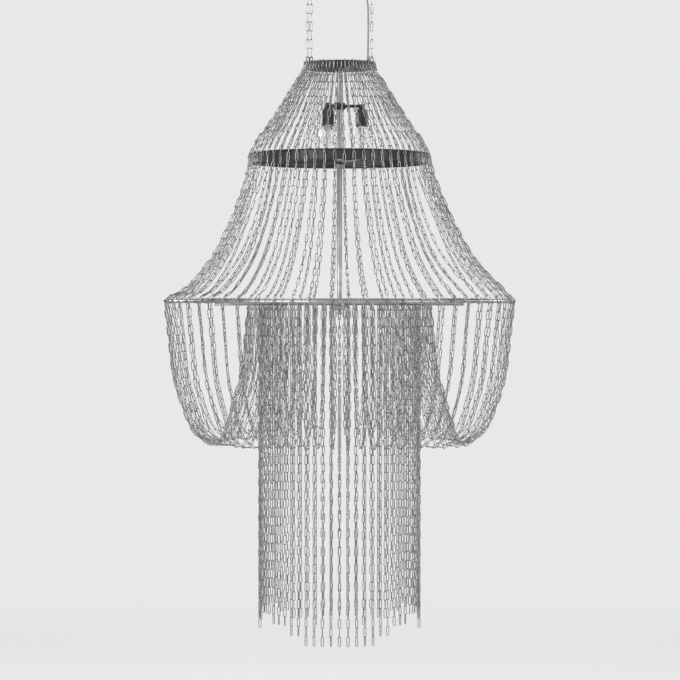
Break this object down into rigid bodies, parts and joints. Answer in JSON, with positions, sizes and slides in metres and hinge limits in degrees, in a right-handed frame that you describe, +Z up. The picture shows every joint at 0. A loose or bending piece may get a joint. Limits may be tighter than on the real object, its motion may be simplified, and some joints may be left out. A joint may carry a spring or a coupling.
{
  "type": "chain chandelier",
  "caption": "Tiered ceiling chandelier: curtains of long-link steel chain on two black hoops and a bright ring, swags below, straight drops in the middle, hung on short chains.",
  "frame": {"origin": "middle of the ceiling bracket's top face, against the ceiling", "axes": "+Z up, +X to the right seen from the front, -Y towards the viewer"},
  "size_m": [0.8676, 0.8676, 1.6523],
  "materials": {
    "chain_steel": "nickel-plated wire, bright, a little dulled",
    "ring_steel": "polished steel tube",
    "black_paint": "satin black paint",
    "zinc_steel": "bright zinc plate",
    "canopy_steel": "satin steel sheet",
    "black_plastic": "moulded black",
    "white_plastic": "moulded white",
    "cable_sheath": "grey sheath",
    "bulb_glass": "frosted glass"
  },
  "bodies": {
    "ceiling": {"ceiling_bracket": "zinc_steel", "ceiling_canopy": "canopy_steel", "hanger_left": "zinc_steel", "hanger_right": "zinc_steel", "terminal_block": "white_plastic", "cable_gland_top": "black_plastic"},
    "top_links": {"top_link_left_outer": "chain_steel", "top_link_left_inner": "chain_steel", "top_link_right": "chain_steel"},
    "left_inner_chain": {"chain_left_inner": "chain_steel"},
    "left_outer_chain": {"chain_left_outer": "chain_steel"},
    "right_chain": {"chain_right": "chain_steel", "lamp_cable": "cable_sheath"},
    "fixture": {"cable_gland_hoop": "black_plastic", "top_hoop": "black_paint", "cone_curtain": "chain_steel", "lamp_stem": "black_paint", "lampholder_1": "black_plastic", "lampholder_2": "black_plastic", "lampholder_3": "black_plastic", "bulb_1": "bulb_glass", "bulb_2": "bulb_glass", "bulb_3": "bulb_glass", "middle_hoop": "black_paint", "drape_curtain": "chain_steel", "outer_ring": "ring_steel", "swag_curtain": "chain_steel", "swag_ring": "ring_steel", "drop_ring": "ring_steel", "lower_spider": "ring_steel"},
    "drop_01": {"drop_pair_01": "chain_steel"},
    "drop_02": {"drop_pair_02": "chain_steel"},
    "drop_03": {"drop_pair_03": "chain_steel"},
    "drop_04": {"drop_pair_04": "chain_steel"},
    "drop_05": {"drop_pair_05": "chain_steel"},
    "drop_06": {"drop_pair_06": "chain_steel"},
    "drop_07": {"drop_pair_07": "chain_steel"},
    "drop_08": {"drop_pair_08": "chain_steel"},
    "drop_09": {"drop_pair_09": "chain_steel"},
    "drop_10": {"drop_pair_10": "chain_steel"},
    "drop_11": {"drop_pair_11": "chain_steel"},
    "drop_12": {"drop_pair_12": "chain_steel"},
    "drop_13": {"drop_pair_13": "chain_steel"},
    "drop_14": {"drop_pair_14": "chain_steel"},
    "drop_15": {"drop_pair_15": "chain_steel"},
    "drop_16": {"drop_pair_16": "chain_steel"},
    "drop_17": {"drop_pair_17": "chain_steel"},
    "drop_18": {"drop_pair_18": "chain_steel"},
    "drop_19": {"drop_pair_19": "chain_steel"},
    "drop_20": {"drop_pair_20": "chain_steel"},
    "drop_21": {"drop_pair_21": "chain_steel"},
    "drop_22": {"drop_pair_22": "chain_steel"},
    "drop_23": {"drop_pair_23": "chain_steel"},
    "drop_24": {"drop_pair_24": "chain_steel"},
    "drop_25": {"drop_pair_25": "chain_steel"},
    "drop_26": {"drop_pair_26": "chain_steel"},
    "drop_27": {"drop_pair_27": "chain_steel"},
    "drop_28": {"drop_pair_28": "chain_steel"},
    "drop_29": {"drop_pair_29": "chain_steel"},
    "drop_30": {"drop_pair_30": "chain_steel"}
  },
  "joints": [
    {"name": "swing_front_back", "type": "hinge", "parent": "ceiling", "child": "top_links", "pos_m": [0, 0, -0.054], "axis": [1, 0, 0], "range_deg": [-8, 8], "deforming": ["lamp_cable"]},
    {"name": "sway_left_inner", "type": "hinge", "parent": "top_links", "child": "left_inner_chain", "pos_m": [-0.07055, 0, -0.07475], "axis": [0, 1, 0], "range_deg": [-8, 8], "deforming": ["lamp_cable"]},
    {"name": "sway_left_outer", "type": "hinge", "parent": "top_links", "child": "left_outer_chain", "pos_m": [-0.07925, 0, -0.07475], "axis": [0, 1, 0], "range_deg": [-8, 8]},
    {"name": "sway_right", "type": "hinge", "parent": "top_links", "child": "right_chain", "pos_m": [0.0805, 0, -0.07475], "axis": [0, 1, 0], "range_deg": [-8, 8], "deforming": ["lamp_cable"]},
    {"name": "fixture_level", "type": "hinge", "parent": "left_inner_chain", "child": "fixture", "pos_m": [-0.07055, 0, -0.2062], "axis": [0, 1, 0], "range_deg": [-8, 8], "deforming": ["lamp_cable"]},
    {"name": "drop_swing_01", "type": "hinge", "parent": "fixture", "child": "drop_01", "pos_m": [0.01044, -0.19918, -0.8161], "axis": [-0.9986, -0.0523, 0], "range_deg": [-3, 12]},
    {"name": "drop_swing_02", "type": "hinge", "parent": "fixture", "child": "drop_02", "pos_m": [0.05162, -0.19266, -0.8161], "axis": [-0.9659, -0.2588, 0], "range_deg": [-3, 12]},
    {"name": "drop_swing_03", "type": "hinge", "parent": "fixture", "child": "drop_03", "pos_m": [0.09055, -0.17771, -0.8161], "axis": [-0.891, -0.454, 0], "range_deg": [-3, 12]},
    {"name": "drop_swing_04", "type": "hinge", "parent": "fixture", "child": "drop_04", "pos_m": [0.12552, -0.155, -0.8161], "axis": [-0.7771, -0.6293, 0], "range_deg": [-3, 12]},
    {"name": "drop_swing_05", "type": "hinge", "parent": "fixture", "child": "drop_05", "pos_m": [0.155, -0.12552, -0.8161], "axis": [-0.6293, -0.7771, 0], "range_deg": [-3, 12]},
    {"name": "drop_swing_06", "type": "hinge", "parent": "fixture", "child": "drop_06", "pos_m": [0.17771, -0.09055, -0.8161], "axis": [-0.454, -0.891, 0], "range_deg": [-3, 12]},
    {"name": "drop_swing_07", "type": "hinge", "parent": "fixture", "child": "drop_07", "pos_m": [0.19266, -0.05162, -0.8161], "axis": [-0.2588, -0.9659, 0], "range_deg": [-3, 12]},
    {"name": "drop_swing_08", "type": "hinge", "parent": "fixture", "child": "drop_08", "pos_m": [0.19918, -0.01044, -0.8161], "axis": [-0.0523, -0.9986, 0], "range_deg": [-3, 12]},
    {"name": "drop_swing_09", "type": "hinge", "parent": "fixture", "child": "drop_09", "pos_m": [0.197, 0.0312, -0.8161], "axis": [0.1564, -0.9877, 0], "range_deg": [-3, 12]},
    {"name": "drop_swing_10", "type": "hinge", "parent": "fixture", "child": "drop_10", "pos_m": [0.18621, 0.07148, -0.8161], "axis": [0.3584, -0.9336, 0], "range_deg": [-3, 12]},
    {"name": "drop_swing_11", "type": "hinge", "parent": "fixture", "child": "drop_11", "pos_m": [0.16728, 0.10863, -0.8161], "axis": [0.5446, -0.8387, 0], "range_deg": [-3, 12]},
    {"name": "drop_swing_12", "type": "hinge", "parent": "fixture", "child": "drop_12", "pos_m": [0.14103, 0.14103, -0.8161], "axis": [0.7071, -0.7071, 0], "range_deg": [-3, 12]},
    {"name": "drop_swing_13", "type": "hinge", "parent": "fixture", "child": "drop_13", "pos_m": [0.10863, 0.16728, -0.8161], "axis": [0.8387, -0.5446, 0], "range_deg": [-3, 12]},
    {"name": "drop_swing_14", "type": "hinge", "parent": "fixture", "child": "drop_14", "pos_m": [0.07148, 0.18621, -0.8161], "axis": [0.9336, -0.3584, 0], "range_deg": [-3, 12]},
    {"name": "drop_swing_15", "type": "hinge", "parent": "fixture", "child": "drop_15", "pos_m": [0.0312, 0.197, -0.8161], "axis": [0.9877, -0.1564, 0], "range_deg": [-3, 12]},
    {"name": "drop_swing_16", "type": "hinge", "parent": "fixture", "child": "drop_16", "pos_m": [-0.01044, 0.19918, -0.8161], "axis": [0.9986, 0.0523, 0], "range_deg": [-3, 12]},
    {"name": "drop_swing_17", "type": "hinge", "parent": "fixture", "child": "drop_17", "pos_m": [-0.05162, 0.19266, -0.8161], "axis": [0.9659, 0.2588, 0], "range_deg": [-3, 12]},
    {"name": "drop_swing_18", "type": "hinge", "parent": "fixture", "child": "drop_18", "pos_m": [-0.09055, 0.17771, -0.8161], "axis": [0.891, 0.454, 0], "range_deg": [-3, 12]},
    {"name": "drop_swing_19", "type": "hinge", "parent": "fixture", "child": "drop_19", "pos_m": [-0.12552, 0.155, -0.8161], "axis": [0.7771, 0.6293, 0], "range_deg": [-3, 12]},
    {"name": "drop_swing_20", "type": "hinge", "parent": "fixture", "child": "drop_20", "pos_m": [-0.155, 0.12552, -0.8161], "axis": [0.6293, 0.7771, 0], "range_deg": [-3, 12]},
    {"name": "drop_swing_21", "type": "hinge", "parent": "fixture", "child": "drop_21", "pos_m": [-0.17771, 0.09055, -0.8161], "axis": [0.454, 0.891, 0], "range_deg": [-3, 12]},
    {"name": "drop_swing_22", "type": "hinge", "parent": "fixture", "child": "drop_22", "pos_m": [-0.19266, 0.05162, -0.8161], "axis": [0.2588, 0.9659, 0], "range_deg": [-3, 12]},
    {"name": "drop_swing_23", "type": "hinge", "parent": "fixture", "child": "drop_23", "pos_m": [-0.19918, 0.01044, -0.8161], "axis": [0.0523, 0.9986, 0], "range_deg": [-3, 12]},
    {"name": "drop_swing_24", "type": "hinge", "parent": "fixture", "child": "drop_24", "pos_m": [-0.197, -0.0312, -0.8161], "axis": [-0.1564, 0.9877, 0], "range_deg": [-3, 12]},
    {"name": "drop_swing_25", "type": "hinge", "parent": "fixture", "child": "drop_25", "pos_m": [-0.18621, -0.07148, -0.8161], "axis": [-0.3584, 0.9336, 0], "range_deg": [-3, 12]},
    {"name": "drop_swing_26", "type": "hinge", "parent": "fixture", "child": "drop_26", "pos_m": [-0.16728, -0.10863, -0.8161], "axis": [-0.5446, 0.8387, 0], "range_deg": [-3, 12]},
    {"name": "drop_swing_27", "type": "hinge", "parent": "fixture", "child": "drop_27", "pos_m": [-0.14103, -0.14103, -0.8161], "axis": [-0.7071, 0.7071, 0], "range_deg": [-3, 12]},
    {"name": "drop_swing_28", "type": "hinge", "parent": "fixture", "child": "drop_28", "pos_m": [-0.10863, -0.16728, -0.8161], "axis": [-0.8387, 0.5446, 0], "range_deg": [-3, 12]},
    {"name": "drop_swing_29", "type": "hinge", "parent": "fixture", "child": "drop_29", "pos_m": [-0.07148, -0.18621, -0.8161], "axis": [-0.9336, 0.3584, 0], "range_deg": [-3, 12]},
    {"name": "drop_swing_30", "type": "hinge", "parent": "fixture", "child": "drop_30", "pos_m": [-0.0312, -0.197, -0.8161], "axis": [-0.9877, 0.1564, 0], "range_deg": [-3, 12]}
  ],
  "couplings": [
    {"joint": "sway_left_inner", "follows": "fixture_level", "ratio": -1},
    {"joint": "sway_left_outer", "follows": "fixture_level", "ratio": -1},
    {"joint": "sway_right", "follows": "fixture_level", "ratio": -1}
  ]
}
